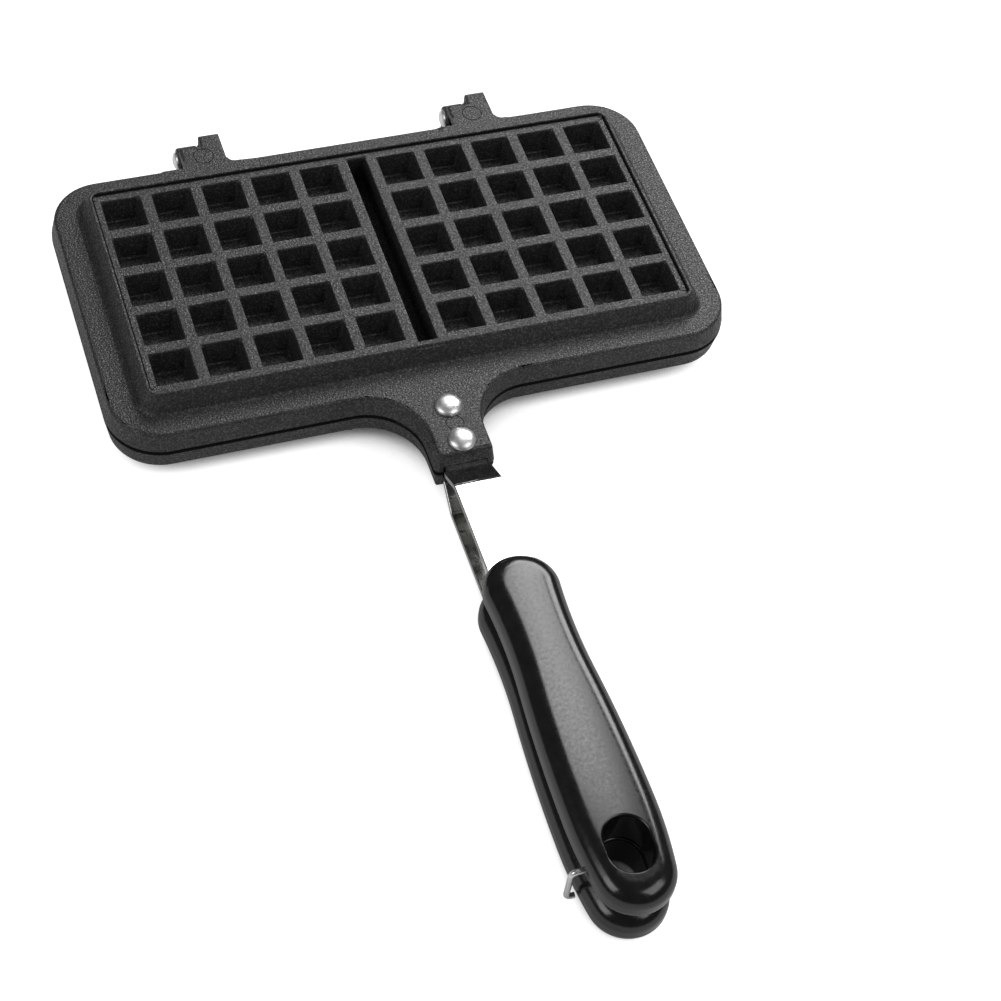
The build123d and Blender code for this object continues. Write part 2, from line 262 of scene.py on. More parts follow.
def coating_material():
    """Matt dark non-stick coating on a cast surface, with a fine speckle."""
    material, tree, shader = node_material("nonstick_coating", (0.03, 0.03, 0.03))
    speckle = object_noise(tree, scale=1500, detail=2, roughness=0.6)
    colour = ramp(tree, speckle, [(0.36, 0.006), (0.52, 0.012), (0.66, 0.055)])
    tree.links.new(colour, shader.inputs["Base Color"])
    rough = ramp(tree, speckle, [(0.36, 0.64), (0.64, 0.3)])
    tree.links.new(rough, shader.inputs["Roughness"])
    shader.inputs["Specular IOR Level"].default_value = 0.6
    grain = object_noise(tree, scale=1300, detail=2, roughness=0.6)
    fine = bump(tree, grain, height=0.0003, strength=1.0)
    waves = object_noise(tree, scale=120, detail=2)
    tree.links.new(bump(tree, waves, height=0.0001, strength=0.3, normal=fine), shader.inputs["Normal"])
    return material


def strap_material():
    """Polished steel strap."""
    material, tree, shader = node_material("polished_strap", (0.8, 0.8, 0.8))
    shader.inputs["Metallic"].default_value = 1.0
    shader.inputs["Base Color"].default_value = (0.58, 0.58, 0.57, 1)
    lines = object_noise(tree, scale=900, detail=2, roughness=0.5, stretch=(6, 0.15, 6))
    rough = ramp(tree, lines, [(0.3, 0.08), (0.7, 0.14)])
    tree.links.new(rough, shader.inputs["Roughness"])
    dents = object_noise(tree, scale=110, detail=1)
    uneven = bump(tree, dents, height=0.0006, strength=0.5)
    drawn = bump(tree, lines, height=0.00001, strength=0.15, normal=uneven)
    tree.links.new(drawn, shader.inputs["Normal"])
    return material


def rivet_material():
    """Bright rivet metal with faint forming marks."""
    material, tree, shader = node_material("bright_rivet", (0.8, 0.8, 0.8))
    shader.inputs["Metallic"].default_value = 1.0
    shader.inputs["Base Color"].default_value = (0.9, 0.9, 0.91, 1)
    marks = object_noise(tree, scale=700, detail=3)
    rough = ramp(tree, marks, [(0.35, 0.36), (0.7, 0.46)])
    tree.links.new(rough, shader.inputs["Roughness"])
    dents = object_noise(tree, scale=260, detail=1)
    tree.links.new(bump(tree, dents, height=0.0002, strength=0.35), shader.inputs["Normal"])
    return material


def grip_material():
    """Polished black moulding, faintly uneven."""
    material, tree, shader = node_material("polished_black_moulding", (0.01, 0.01, 0.01))
    shader.inputs["IOR"].default_value = 1.6
    tint = object_noise(tree, scale=240, detail=2)
    colour = ramp(tree, tint, [(0.3, 0.004), (0.7, 0.007)])
    tree.links.new(colour, shader.inputs["Base Color"])
    haze = object_noise(tree, scale=900, detail=3)
    rough = ramp(tree, haze, [(0.3, 0.15), (0.7, 0.24)])
    tree.links.new(rough, shader.inputs["Roughness"])
    skin = object_noise(tree, scale=500, detail=2)
    tree.links.new(bump(tree, skin, height=0.00003, strength=0.25), shader.inputs["Normal"])
    return material


def wire_material():
    """Bright drawn wire."""
    material, tree, shader = node_material("drawn_wire", (0.7, 0.7, 0.7))
    shader.inputs["Metallic"].default_value = 1.0
    shader.inputs["Base Color"].default_value = (0.8, 0.8, 0.8, 1)
    lines = object_noise(tree, scale=1200, detail=2)
    rough = ramp(tree, lines, [(0.3, 0.3), (0.7, 0.38)])
    tree.links.new(rough, shader.inputs["Roughness"])
    tree.links.new(bump(tree, lines, height=0.00001, strength=0.1), shader.inputs["Normal"])
    return material


def mark_material():
    """Painted shade for the fine rings left by ejector pins, the parting seam and the lip's inner
    corner: a darker, duller coating in place of the shadow in those grooves.
    """
    material, tree, shader = node_material("painted_groove_shade", (0.01, 0.01, 0.01))
    tone = object_noise(tree, scale=1500, detail=2)
    tree.links.new(ramp(tree, tone, [(0.3, 0.002), (0.7, 0.006)]), shader.inputs["Base Color"])
    shader.inputs["Roughness"].default_value = 0.7
    shader.inputs["Specular IOR Level"].default_value = 0.1
    return material


COATING = coating_material()
# Painted shade: dark coating that stands in for the shadow in grooves, the parting seam and the lip's
# inner corner
MARK_LINE = mark_material()
STRAP_STEEL = strap_material()
RIVET_METAL = rivet_material()
GRIP_PLASTIC = grip_material()
WIRE = wire_material()


# Cast plates

def within_rim(x, y):
    """Whether a place, in millimetres, lies inside the flange's side wall."""
    over = (x - FLANGE_HALF[0] + FLANGE_CORNER, abs(y) - FLANGE_HALF[1] + FLANGE_CORNER)
    reach = hypot(max(over[0], 0), max(over[1], 0)) + min(max(over), 0)
    return reach < FLANGE_CORNER - RIM_WIDTH


def in_lip_foot(x, y, z):
    """Whether a place, in millimetres, lies in the inner corner at the foot of the lip."""
    slack = 0.02
    over = max(x - FACE_HALF[0], abs(y) - FACE_HALF[1])
    rise = z - FACE_LEVEL
    return -LIP_FOOT_ROUND - slack < over < slack and -slack < rise < LIP_FOOT_ROUND + slack


def at_level(z, level, slack=LEVEL_SLACK):
    """Whether a height, in millimetres over the parting plane, is at one of the casting's levels."""
    return abs(z - level) < slack


def keeps_sharp(x, y):
    """Whether a place, in millimetres, is under a rivet's head or at the root of a hinge ear."""
    under_head = any(hypot(x, y - rivet / MM) < RIVET_HEAD_RADIUS / MM for rivet in RIVET_PLACES)
    at_root = any(hypot(x - root, y - EAR_ROOT_Y) < EAR_ROOT_REACH for root in EAR_ROOTS)
    return under_head or at_root


def edge_rounding(place, first, second):
    """Rounding in millimetres for a sharp edge of the casting, by where it lies."""
    x, y, z = abs(place.x) / MM, place.y / MM, (place.z - PARTING) / MM
    steep = abs(first.z - second.z) / MM > 1.0
    in_face = x < FACE_HALF[0] + 0.1 and abs(y) < FACE_HALF[1] - 0.1
    near_top = z > FACE_LEVEL - LEVEL_SLACK
    if keeps_sharp(x, y):
        return 0.0
    if z < RIM_FOOT_LEVEL:
        return GUTTER_ROUND if within_rim(x, y) else SEAM_ROUND
    if in_face and at_level(z, POST_END_LEVEL, POST_END_SLACK):
        return POST_ROUND
    if in_face and steep and z > FLANGE_LEVEL + 0.5:
        return POCKET_CORNER_ROUND
    if in_face and near_top and x < DIVIDER_HALF_SLOT + 0.1:
        return DIVIDER_ROUND
    if in_lip_foot(x, y, z):
        return LIP_FOOT_ROUND
    if in_face and near_top:
        return POCKET_MOUTH_ROUND
    if in_face and at_level(z, POCKET_FLOOR_LEVEL):
        return POCKET_FLOOR_ROUND
    if in_face and at_level(z, CHAMBER_ROOF_LEVEL):
        return 0.0
    if near_top:
        return LIP_TOP_ROUND
    if at_level(z, FLANGE_LEVEL) and x < BLOCK_FOOT_HALF[0] and abs(y) < BLOCK_FOOT_HALF[1]:
        return BLOCK_FOOT_ROUND
    if z > FLANGE_LEVEL - LEVEL_SLACK:
        return FLANGE_ROUND
    if y > EARS_START or y < NECK_START:
        return EAR_AND_NECK_ROUND
    return 0.0


def on_flange_top(face):
    """Whether a face lies in the flange's flat outer side."""
    return face.normal.z > 0.99 and abs(face.calc_center_median().z - PARTING - FLANGE_TOP) < 0.1 * MM


def takes_painted_shade(face):
    """Whether a face is in the parting seam or the lip's inner corner, where shade is painted as a
    darker coating.
    """
    x, y, z = abs(face.center.x) / MM, face.center.y / MM, abs(face.center.z - PARTING) / MM
    in_seam = z < SEAM_ROUND and not within_rim(x, y)
    return abs(face.normal.z) < 0.97 and (in_seam or in_lip_foot(x, y, z))


def cut_flange_top(shape):
    """Cuts across the flange's flat top, each slid a little to the spot farthest from any corner."""
    spacing, slide, tries = 7, 0.1, 30
    for axis, reach in ((Vector((1, 0, 0)), 112), (Vector((0, 1, 0)), 92)):
        faces = [face.verts for face in shape.faces if on_flange_top(face)]
        corners = {round(vert.co.dot(axis) / MM, 3) for verts in faces for vert in verts}
        for step in range(-reach, reach + 1, spacing):
            spots = [step + slide * k for k in range(tries)]
            clear = max(spots, key=lambda spot: min(abs(spot - corner) for corner in corners))
            ledge = [face for face in shape.faces if on_flange_top(face)]
            edges = {edge for face in ledge for edge in face.edges}
            bmesh.ops.bisect_plane(shape, geom=list(edges) + ledge, dist=0.01 * MM,
                                   plane_co=axis * clear * MM, plane_no=axis)


def weigh_edges(shape):
    """Each sharp edge's share of the widest rounding, as its bevel weight."""
    weights = shape.edges.layers.float.new("bevel_weight_edge")
    for edge in shape.edges:
        if len(edge.link_faces) == 2 and edge.calc_face_angle(0) > radians(CAST_SHARP):
            first, second = edge.verts[0].co, edge.verts[1].co
            rounding = edge_rounding((first + second) / 2, first, second)
            edge[weights] = rounding / WIDEST_ROUND
            edge.smooth = rounding > 0


def cast_plate(node, name):
    """Casting with its edges rounded as the foundry leaves them."""
    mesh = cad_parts[node].data.copy()
    shape = bmesh.new()
    shape.from_mesh(mesh)
    weld, rim_weld = 0.002 * MM, 0.09 * MM
    bmesh.ops.remove_doubles(shape, verts=shape.verts, dist=weld)
    rim = [vert for vert in shape.verts if abs(vert.co.z - PARTING - FLANGE_TOP) < 0.01 * MM]
    bmesh.ops.remove_doubles(shape, verts=rim, dist=rim_weld)
    cut_flange_top(shape)
    bmesh.ops.triangulate(shape, faces=[face for face in shape.faces if len(face.verts) > 3])
    flat = [edge for edge in shape.edges if edge.calc_face_angle(1) < radians(0.3)]
    bmesh.ops.beautify_fill(shape, faces=shape.faces, edges=flat)
    weigh_edges(shape)
    shape.to_mesh(mesh)
    shape.free()
    mesh.materials.clear()
    mesh.materials.append(COATING)
    smooth(mesh)
    plate = new_object(name, mesh)
    bevel = plate.modifiers.new("edges", "BEVEL")
    bevel.limit_method = "WEIGHT"
    bevel.width = WIDEST_ROUND * MM
    bevel.segments = 3
    bevel.use_clamp_overlap = False
    bevel.miter_inner = "MITER_SHARP"
    apply_modifiers(plate, name)
    shade_with_creases(plate, name, CAST_CREASE)
    # Painted shade: faces in the parting seam and the lip's inner corner get the dark coating in place
    # of their shadow
    plate.data.materials.append(MARK_LINE)
    for face in plate.data.polygons:
        face.material_index = 1 if takes_painted_shade(face) else 0
    return plate


upper_plate = cast_plate("upper_plate", "upper_casting")
lower_plate = new_object("lower_casting", upper_to_lower(upper_plate.data, "lower_casting"))
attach(upper_plate, "upper_half")
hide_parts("upper_plate")
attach(lower_plate, "lower_half")
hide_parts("lower_plate")


# Grips

def toward(start, end, distance):
    """Point at a distance from start on the way to end."""
    return start + (end - start).normalized() * distance


def arc_points(centre, start, end, steps):
    """Points along the short arc about centre, its last point left off."""
    first, last = start - centre, end - centre
    turn = first.angle_signed(last)
    return [centre + Matrix.Rotation(-turn * i / steps, 2) @ first for i in range(steps)]


def grip_side():
    """Half plan of the grip from its front end to its tip, as tangent arcs."""
    nose = Vector((0, GRIP_FRONT - NOSE_RADIUS))
    widest = Vector((GRIP_HALF_WIDTH, GRIP_WIDEST))
    swell = widest - Vector((SWELL_RADIUS, 0))
    tip = Vector((0, GRIP_TIP + TIP_RADIUS))
    gap = swell - nose
    near, far = NOSE_RADIUS + WAIST_RADIUS, SWELL_RADIUS + WAIST_RADIUS
    along = (near ** 2 - far ** 2 + gap.length_squared) / (2 * gap.length)
    out = sqrt(near ** 2 - along ** 2)
    way = gap.normalized()
    waist = nose + way * along + Vector((-way.y, way.x)) * out
    back = GRIP_WIDEST - tip.y
    bend = (GRIP_HALF_WIDTH ** 2 + back ** 2 - TIP_RADIUS ** 2) / (2 * (GRIP_HALF_WIDTH - TIP_RADIUS))
    shoulder = widest - Vector((bend, 0))
    nose_end = toward(nose, waist, NOSE_RADIUS)
    waist_end = toward(waist, swell, WAIST_RADIUS)
    shoulder_end = toward(shoulder, tip, bend)
    points = arc_points(nose, Vector((0, GRIP_FRONT)), nose_end, 40)
    points += arc_points(waist, nose_end, waist_end, 30)
    points += arc_points(swell, waist_end, widest, 40)
    points += arc_points(shoulder, widest, shoulder_end, 24)
    points += arc_points(tip, shoulder_end, Vector((0, GRIP_TIP)), 40)
    points.append(Vector((0, GRIP_TIP)))
    return np.array([tuple(point) for point in points])


def grip_rise(depth):
    """Height of the grip's skin over its side band, by the distance in from its outline."""
    reach = 6.4 * MM
    crown = 0.5 * MM
    band = 1.0 * MM
    shoulder = GRIP_HALF_HEIGHT - band - crown
    inward = np.clip(1 - depth / reach, 0, 1)
    bow = np.clip(1 - depth / GRIP_HALF_WIDTH, 0, 1)
    return band + shoulder * np.sqrt(1 - inward ** 2) + crown * (1 - bow ** 2)


def distance_to(line, points):
    """Shortest distance from each point to a polyline."""
    start, end = line[:-1], line[1:]
    run = end - start
    length = (run ** 2).sum(1)
    best = np.full(len(points), 1e9)
    for first, step, size in zip(start, run, length):
        share = np.clip(((points - first) @ step) / size, 0, 1)
        best = np.minimum(best, np.hypot(*(points - first - share[:, None] * step).T))
    return best


def grip_mesh():
    """Skin of the upper grip without its hanging hole, above the parting plane."""
    side = grip_side()
    length = GRIP_FRONT - GRIP_TIP
    end_reach, end_turn, end_rows = 7.0 * MM, 9, 10
    middle_rows, columns = 150, 52
    edge = [end_reach * (1 - cos(radians(end_turn * k))) for k in range(end_rows)]
    middle = np.linspace(edge[-1], length - edge[-1], middle_rows)[1:-1]
    stations = [GRIP_FRONT - d for d in edge[1:]] + [GRIP_FRONT - d for d in middle]
    stations += [GRIP_TIP + d for d in reversed(edge[1:])]
    shares = [0.5 * (1 - cos(pi * k / columns)) for k in range(columns + 1)]
    widths = np.interp([-y for y in stations], -side[:, 1], side[:, 0])
    rows = [[(width * (2 * share - 1), y) for share in shares] for y, width in zip(stations, widths)]
    flat = np.array(rows).reshape(-1, 2)
    folded = np.abs(flat[:, 0])
    depth = distance_to(side, np.column_stack([folded, flat[:, 1]]))
    count = len(shares)
    on_edge = np.isin(np.arange(len(flat)) % count, (0, count - 1))
    depth[on_edge] = 0
    rise = grip_rise(depth)
    points, faces = [], []
    for sign in (1, -1):
        points += [(x, y, PARTING + GRIP_MIDDLE + sign * z) for (x, y), z in zip(flat, rise)]
    total = len(flat)
    for sign, base in ((1, 0), (-1, total)):
        for row in range(len(stations) - 1):
            for column in range(count - 1):
                a = base + row * count + column
                quad = (a, a + count, a + count + 1, a + 1)
                faces.append(quad if sign > 0 else quad[::-1])
    for row in range(len(stations) - 1):
        for column, turn in ((0, 1), (count - 1, -1)):
            a = row * count + column
            quad = (a, a + total, a + total + count, a + count)
            faces.append(quad[::turn])
    band = grip_rise(np.array([0.0]))[0]
    for row, y, turn in ((0, GRIP_FRONT, 1), (len(stations) - 1, GRIP_TIP, -1)):
        apex = len(points)
        points += [(0, y, PARTING + GRIP_MIDDLE + band), (0, y, PARTING + GRIP_MIDDLE - band)]
        first = row * count
        for column in range(count - 1):
            a, b = first + column, first + column + 1
            faces.append((apex, a, b)[::turn])
            faces.append((apex + 1, b + total, a + total)[::turn])
        left, right = first, first + count - 1
        faces.append((apex, apex + 1, left + total, left)[::turn])
        faces.append((apex + 1, apex, right, right + total)[::turn])
    return mesh_from("grip", points, faces)


def slot_cutter():
    """Tool for the hanging hole: a rounded slot whose ends flare to the skin for a soft rim."""
    rim, past_skin = 0.9 * MM, 1.0 * MM
    middle = PARTING + GRIP_MIDDLE
    straight = (HANG_LENGTH - HANG_WIDTH) / 2
    count = 96
    angles = (np.arange(count) + 0.5) * 2 * pi / count
    across, along = np.cos(angles), np.sin(angles)
    start = HANG_PLACE + np.where(along > 0, straight, -straight)

    def ring(spread):
        radius = HANG_WIDTH / 2 + spread
        return np.column_stack([radius * across, start + radius * along])

    outer = ring(rim)
    skin = grip_rise(distance_to(grip_side(), np.column_stack([np.abs(outer[:, 0]), outer[:, 1]])))
    turns = [radians(10 * k) for k in range(9)]
    levels = [(rim * (1 - cos(turn)), skin - rim * (1 - sin(turn))) for turn in turns]
    levels.append((rim * 1.6, skin + past_skin))
    levels = [(spread, -rise) for spread, rise in reversed(levels)] + levels
    points = []
    for spread, rise in levels:
        points += [(x, y, middle + z) for (x, y), z in zip(ring(spread), rise)]
    faces = [tuple(reversed(range(count)))]
    for level in range(len(levels) - 1):
        for k in range(count):
            a, b = level * count + k, level * count + (k + 1) % count
            faces.append((a, b, b + count, a + count))
    faces.append(tuple(range(len(points) - count, len(points))))
    return mesh_from("slot", points, faces)


def moulded_grip(name):
    """Grip with its hanging hole cut through."""
    skin = grip_mesh()
    skin.materials.append(GRIP_PLASTIC)
    grip = new_object(name, skin)
    cutter = new_object("slot", slot_cutter())
    hole = grip.modifiers.new("hanging hole", "BOOLEAN")
    hole.operation = "DIFFERENCE"
    hole.solver = "EXACT"
    hole.object = cutter
    apply_modifiers(grip, name)
    bpy.data.objects.remove(cutter)
    smooth(grip.data)
    return shade_with_creases(grip, name, GRIP_CREASE)


upper_grip = moulded_grip("upper_handle")
lower_grip = new_object("lower_handle", upper_to_lower(upper_grip.data, "lower_handle"))
for item, half in ((upper_grip, "upper"), (lower_grip, "lower")):
    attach(item, half + "_half")
    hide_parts(half + "_grip")


# Straps

def strap_stations():
    """Middle line of the strap with round bends: place along Y, height and slope at each station."""
    bend_steps = 16
    corners = [Vector(corner) for corner in STRAP_ROUTE]
    stations = [(*corners[0], 0.0)]
    for before, corner, after in zip(corners, corners[1:], corners[2:]):
        way_in, way_out = (corner - before).normalized(), (after - corner).normalized()
        turn = way_in.angle_signed(way_out)
        cut = STRAP_BEND * tan(abs(turn) / 2)
        start = corner - way_in * cut
        side = Vector((way_in.y, -way_in.x)) * (1 if turn > 0 else -1)
        centre = start + side * STRAP_BEND
        for k in range(bend_steps + 1):
            spot = centre + Matrix.Rotation(-turn * k / bend_steps, 2) @ (start - centre)
            way = Matrix.Rotation(-turn * k / bend_steps, 2) @ way_in
            stations.append((*spot, atan2(way.y, -way.x)))
    stations.append((*corners[-1], 0.0))
    return stations


def strap_half_width(y):
    """Half width of the strap at a place along Y: seat in the neck, full strip, tang in the grip."""
    if y > STRAP_SHOULDER:
        return STRAP_HALF_SEAT
    if y < GRIP_FRONT - 3.0 * MM:
        return STRAP_HALF_TANG
    return min(STRAP_HALF_WIDTH, STRAP_HALF_SEAT + STRAP_SHOULDER - y)


def swept_strap(name):
    """Blanked and polished strip with soft edges, swept along its joggled middle line."""
    soft = STRAP_SOFT_EDGE
    longest_step = 2.0 * MM
    corner_turns = [radians(22.5 * k) for k in range(5)]
    stations = strap_stations()
    extra = []
    for (y, z, slope), (end, top, last) in zip(stations, stations[1:]):
        extra.append((y, z, slope))
        for share in np.linspace(0, 1, max(2, int((y - end) / longest_step)))[1:-1]:
            extra.append((y + (end - y) * share, z + (top - z) * share, slope + (last - slope) * share))
    extra.append(stations[-1])
    points, faces = [], []
    for y, z, slope in extra:
        half = strap_half_width(y)
        section = []
        for quarter in range(4):
            side = 1 if quarter in (0, 3) else -1
            face = 1 if quarter in (0, 1) else -1
            for turn in corner_turns:
                angle = turn + quarter * pi / 2
                section.append((side * (half - soft) + soft * cos(angle),
                                face * (STRAP_HALF_THICKNESS - soft) + soft * sin(angle)))
        points += [(x, y + rise * sin(slope), PARTING + z + rise * cos(slope)) for x, rise in section]
    count = 4 * len(corner_turns)
    for row in range(len(extra) - 1):
        for k in range(count):
            a, b = row * count + k, row * count + (k + 1) % count
            faces.append((a, b, b + count, a + count))
    faces.append(tuple(reversed(range(count))))
    faces.append(tuple(range(len(points) - count, len(points))))
    mesh = mesh_from(name, points, faces)
    mesh.materials.append(STRAP_STEEL)
    smooth(mesh)
    strap = new_object(name, mesh)
    strap.modifiers.new("flat faces", "WEIGHTED_NORMAL")
    return apply_modifiers(strap, name)


upper_strap = swept_strap("upper_steel_strap")
lower_strap = new_object("lower_steel_strap", upper_to_lower(upper_strap.data, "lower_steel_strap"))
for item, half in ((upper_strap, "upper"), (lower_strap, "lower")):
    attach(item, half + "_half")
    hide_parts(half + "_strap")


# Fasteners, hoop and mould marks, grown by Geometry Nodes

def new_tree(name, sizes):
    """Empty node tree with named inputs, given as name and socket kind."""
    tree = bpy.data.node_groups.new(name, "GeometryNodeTree")
    tree.interface.new_socket("Geometry", in_out="INPUT", socket_type="NodeSocketGeometry")
    tree.interface.new_socket("Geometry", in_out="OUTPUT", socket_type="NodeSocketGeometry")
    for size, kind in sizes.items():
        tree.interface.new_socket(size, in_out="INPUT", socket_type=kind)
    return tree, tree.nodes.new("NodeGroupInput").outputs, tree.nodes.new("NodeGroupOutput").inputs[0]


def add(tree, kind, settings=None, **inputs):
    """New node, with its inputs linked or set; gives the node's first output."""
    node = tree.nodes.new(kind)
    for key, value in (settings or {}).items():
        setattr(node, key, value)
    for key, value in inputs.items():
        socket = node.inputs[key.replace("_", " ")]
        if isinstance(value, bpy.types.NodeSocket):
            tree.links.new(value, socket)
        else:
            socket.default_value = value
    return node.outputs[0]


def join(tree, *parts):
    """All parts as one geometry."""
    node = tree.nodes.new("GeometryNodeJoinGeometry")
    for part in parts:
        tree.links.new(part, node.inputs[0])
    return node.outputs[0]


def finish_tree(tree, shape, material, output):
    """Instances made real, soft faces with crisp corners, and the material."""
    real = add(tree, "GeometryNodeRealizeInstances", Geometry=shape)
    merged = add(tree, "GeometryNodeMergeByDistance", Geometry=real, Distance=0.002 * MM)
    soft = add(tree, "GeometryNodeSetShadeSmooth", Geometry=merged, Shade_Smooth=True)
    angle = add(tree, "GeometryNodeInputMeshEdgeAngle")
    corner = maths(tree, "GREATER_THAN", angle, radians(SMALL_PART_CREASE))
    crisp = add(tree, "GeometryNodeSetShadeSmooth", {"domain": "EDGE"}, Geometry=soft,
                Selection=corner, Shade_Smooth=False)
    tree.links.new(add(tree, "GeometryNodeSetMaterial", Geometry=crisp, Material=material), output)


def grow(name, tree, guide, values):
    """Plain mesh object grown from a guide mesh by a tree, with its inputs set by identifier."""
    item = new_object(name, guide)
    modifier = item.modifiers.new(name, "NODES")
    modifier.node_group = tree
    for socket in tree.interface.items_tree:
        if socket.in_out == "INPUT" and socket.name in values:
            modifier[socket.identifier] = values[socket.name]
    return apply_modifiers(item, name)


def fastener_tree():
    """Round fasteners: domed head at the origin, shank and formed tail below it."""
    tree, given, output = new_tree("round_fasteners", {
        "Head Radius": "NodeSocketFloat", "Head Height": "NodeSocketFloat",
        "Shank Radius": "NodeSocketFloat", "Shank Length": "NodeSocketFloat",
        "Tail Radius": "NodeSocketFloat", "Tail Height": "NodeSocketFloat",
        "First Place": "NodeSocketVector", "Last Place": "NodeSocketVector",
        "Turn": "NodeSocketRotation", "Metal": "NodeSocketMaterial",
    })
    head = dome(tree, given["Head Radius"], given["Head Height"])
    tail = dome(tree, given["Tail Radius"], given["Tail Height"])
    foot = maths(tree, "MULTIPLY", given["Shank Length"], -1.0)
    tail_place = add(tree, "ShaderNodeCombineXYZ", Z=foot)
    tail = add(tree, "GeometryNodeTransform", Geometry=tail, Translation=tail_place, Rotation=(pi, 0, 0))
    shank = add(tree, "GeometryNodeMeshCylinder", Vertices=48, Radius=given["Shank Radius"],
                Depth=given["Shank Length"])
    halfway = maths(tree, "MULTIPLY", given["Shank Length"], -0.5)
    shank_place = add(tree, "ShaderNodeCombineXYZ", Z=halfway)
    shank = add(tree, "GeometryNodeTransform", Geometry=shank, Translation=shank_place)
    places = add(tree, "GeometryNodeMeshLine", {"mode": "END_POINTS"}, Count=2,
                 Start_Location=given["First Place"], Offset=given["Last Place"])
    whole = join(tree, head, shank, tail)
    placed = add(tree, "GeometryNodeInstanceOnPoints", Points=places, Instance=whole,
                 Rotation=given["Turn"])
    finish_tree(tree, placed, given["Metal"], output)
    return tree


def dome(tree, radius, height):
    """Closed dome on the XY plane: a quarter ellipse turned about Z, by its share of the way up."""
    line = add(tree, "GeometryNodeCurvePrimitiveLine", End=(0, 0, 1))
    line = add(tree, "GeometryNodeResampleCurve", Curve=line, Count=16)
    share = add(tree, "GeometryNodeSplineParameter")
    turn = maths(tree, "MULTIPLY", share, pi / 2)
    smallest_share = 0.0005
    shrink = maths(tree, "MAXIMUM", maths(tree, "COSINE", turn), smallest_share)
    circle = add(tree, "GeometryNodeCurvePrimitiveCircle", Resolution=56, Radius=radius)
    body = add(tree, "GeometryNodeCurveToMesh", Curve=line, Profile_Curve=circle, Scale=shrink,
               Fill_Caps=True)
    place = tree.nodes.new("ShaderNodeSeparateXYZ")
    tree.links.new(add(tree, "GeometryNodeInputPosition"), place.inputs[0])
    bend = maths(tree, "SINE", maths(tree, "MULTIPLY", place.outputs["Z"], pi / 2))
    rise = maths(tree, "MULTIPLY", bend, height)
    moved = add(tree, "ShaderNodeCombineXYZ", X=place.outputs["X"], Y=place.outputs["Y"], Z=rise)
    return add(tree, "GeometryNodeSetPosition", Geometry=body, Position=moved)


def wire_tree():
    """Round wire along the guide's edges, with bends of one radius."""
    tree, given, output = new_tree("bent_wire", {
        "Wire Radius": "NodeSocketFloat", "Bend Radius": "NodeSocketFloat",
        "Metal": "NodeSocketMaterial",
    })
    path = add(tree, "GeometryNodeMeshToCurve", Mesh=given["Geometry"])
    bent = add(tree, "GeometryNodeFilletCurve", {"mode": "POLY"}, Curve=path, Count=10,
               Radius=given["Bend Radius"], Limit_Radius=True)
    circle = add(tree, "GeometryNodeCurvePrimitiveCircle", Resolution=28, Radius=given["Wire Radius"])
    wire = add(tree, "GeometryNodeCurveToMesh", Curve=bent, Profile_Curve=circle, Fill_Caps=True)
    finish_tree(tree, wire, given["Metal"], output)
    return tree


def mark_tree():
    """Fine witness rings that ejector pins leave, one at each guide point, sized by its attribute."""
    tree, given, output = new_tree("mould_marks", {
        "Line Radius": "NodeSocketFloat", "Skin": "NodeSocketMaterial",
    })
    circle = add(tree, "GeometryNodeCurvePrimitiveCircle", Resolution=72, Radius=1.0)
    line = add(tree, "GeometryNodeCurvePrimitiveCircle", Resolution=8, Radius=given["Line Radius"])
    size = add(tree, "GeometryNodeInputNamedAttribute", Name="ring")
    points = add(tree, "GeometryNodeMeshToPoints", Mesh=given["Geometry"])
    rings = add(tree, "GeometryNodeInstanceOnPoints", Points=points, Instance=circle, Scale=size)
    real = add(tree, "GeometryNodeRealizeInstances", Geometry=rings)
    shape = add(tree, "GeometryNodeCurveToMesh", Curve=real, Profile_Curve=line)
    finish_tree(tree, shape, given["Skin"], output)
    return tree


def guide_mesh(name, points, joined=False):
    """Mesh of points for a tree to work on, joined in a row or left loose."""
    mesh = bpy.data.meshes.new(name)
    edges = [(k, k + 1) for k in range(len(points) - 1)] if joined else []
    mesh.from_pydata([tuple(point) for point in points], edges, [])
    return mesh


FASTENERS = fastener_tree()
RIVET_SIZES = {
    "Head Radius": RIVET_HEAD_RADIUS, "Head Height": RIVET_HEAD_HEIGHT,
    "Shank Radius": RIVET_SHANK_RADIUS, "Shank Length": FLANGE_TOP - RIVET_FOOT,
    "Tail Radius": RIVET_TAIL_RADIUS, "Tail Height": RIVET_TAIL_HEIGHT,
    "First Place": (0, RIVET_PLACES[0], PARTING + FLANGE_TOP),
    "Last Place": (0, RIVET_PLACES[1], PARTING + FLANGE_TOP),
    "Metal": RIVET_METAL,
}
upper_rivets = grow("upper_rivets", FASTENERS, guide_mesh("upper_rivets", []), RIVET_SIZES)
lower_rivets = new_object("lower_rivets", upper_to_lower(upper_rivets.data, "lower_rivets"))
for item, half in ((upper_rivets, "upper"), (lower_rivets, "lower")):
    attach(item, half + "_half")
    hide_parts(half + "_front_rivet", half + "_rear_rivet")

hinge_pins = grow("hinge_pins", FASTENERS, guide_mesh("hinge_pins", []), {
    "Head Radius": PIN_HEAD_RADIUS, "Head Height": PIN_HEAD_HEIGHT,
    "Shank Radius": PIN_SHANK_RADIUS, "Shank Length": 2 * PIN_REACH,
    "Tail Radius": PIN_TAIL_RADIUS, "Tail Height": PIN_TAIL_HEIGHT,
    "First Place": (HINGE_MIDDLES[0] - PIN_REACH, PIN_Y, PARTING),
    "Last Place": (HINGE_MIDDLES[1] - PIN_REACH, PIN_Y, PARTING),
    "Turn": (0, -pi / 2, 0),
    "Metal": RIVET_METAL,
})
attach(hinge_pins, "lower_half")
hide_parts("left_hinge_pin", "right_hinge_pin")

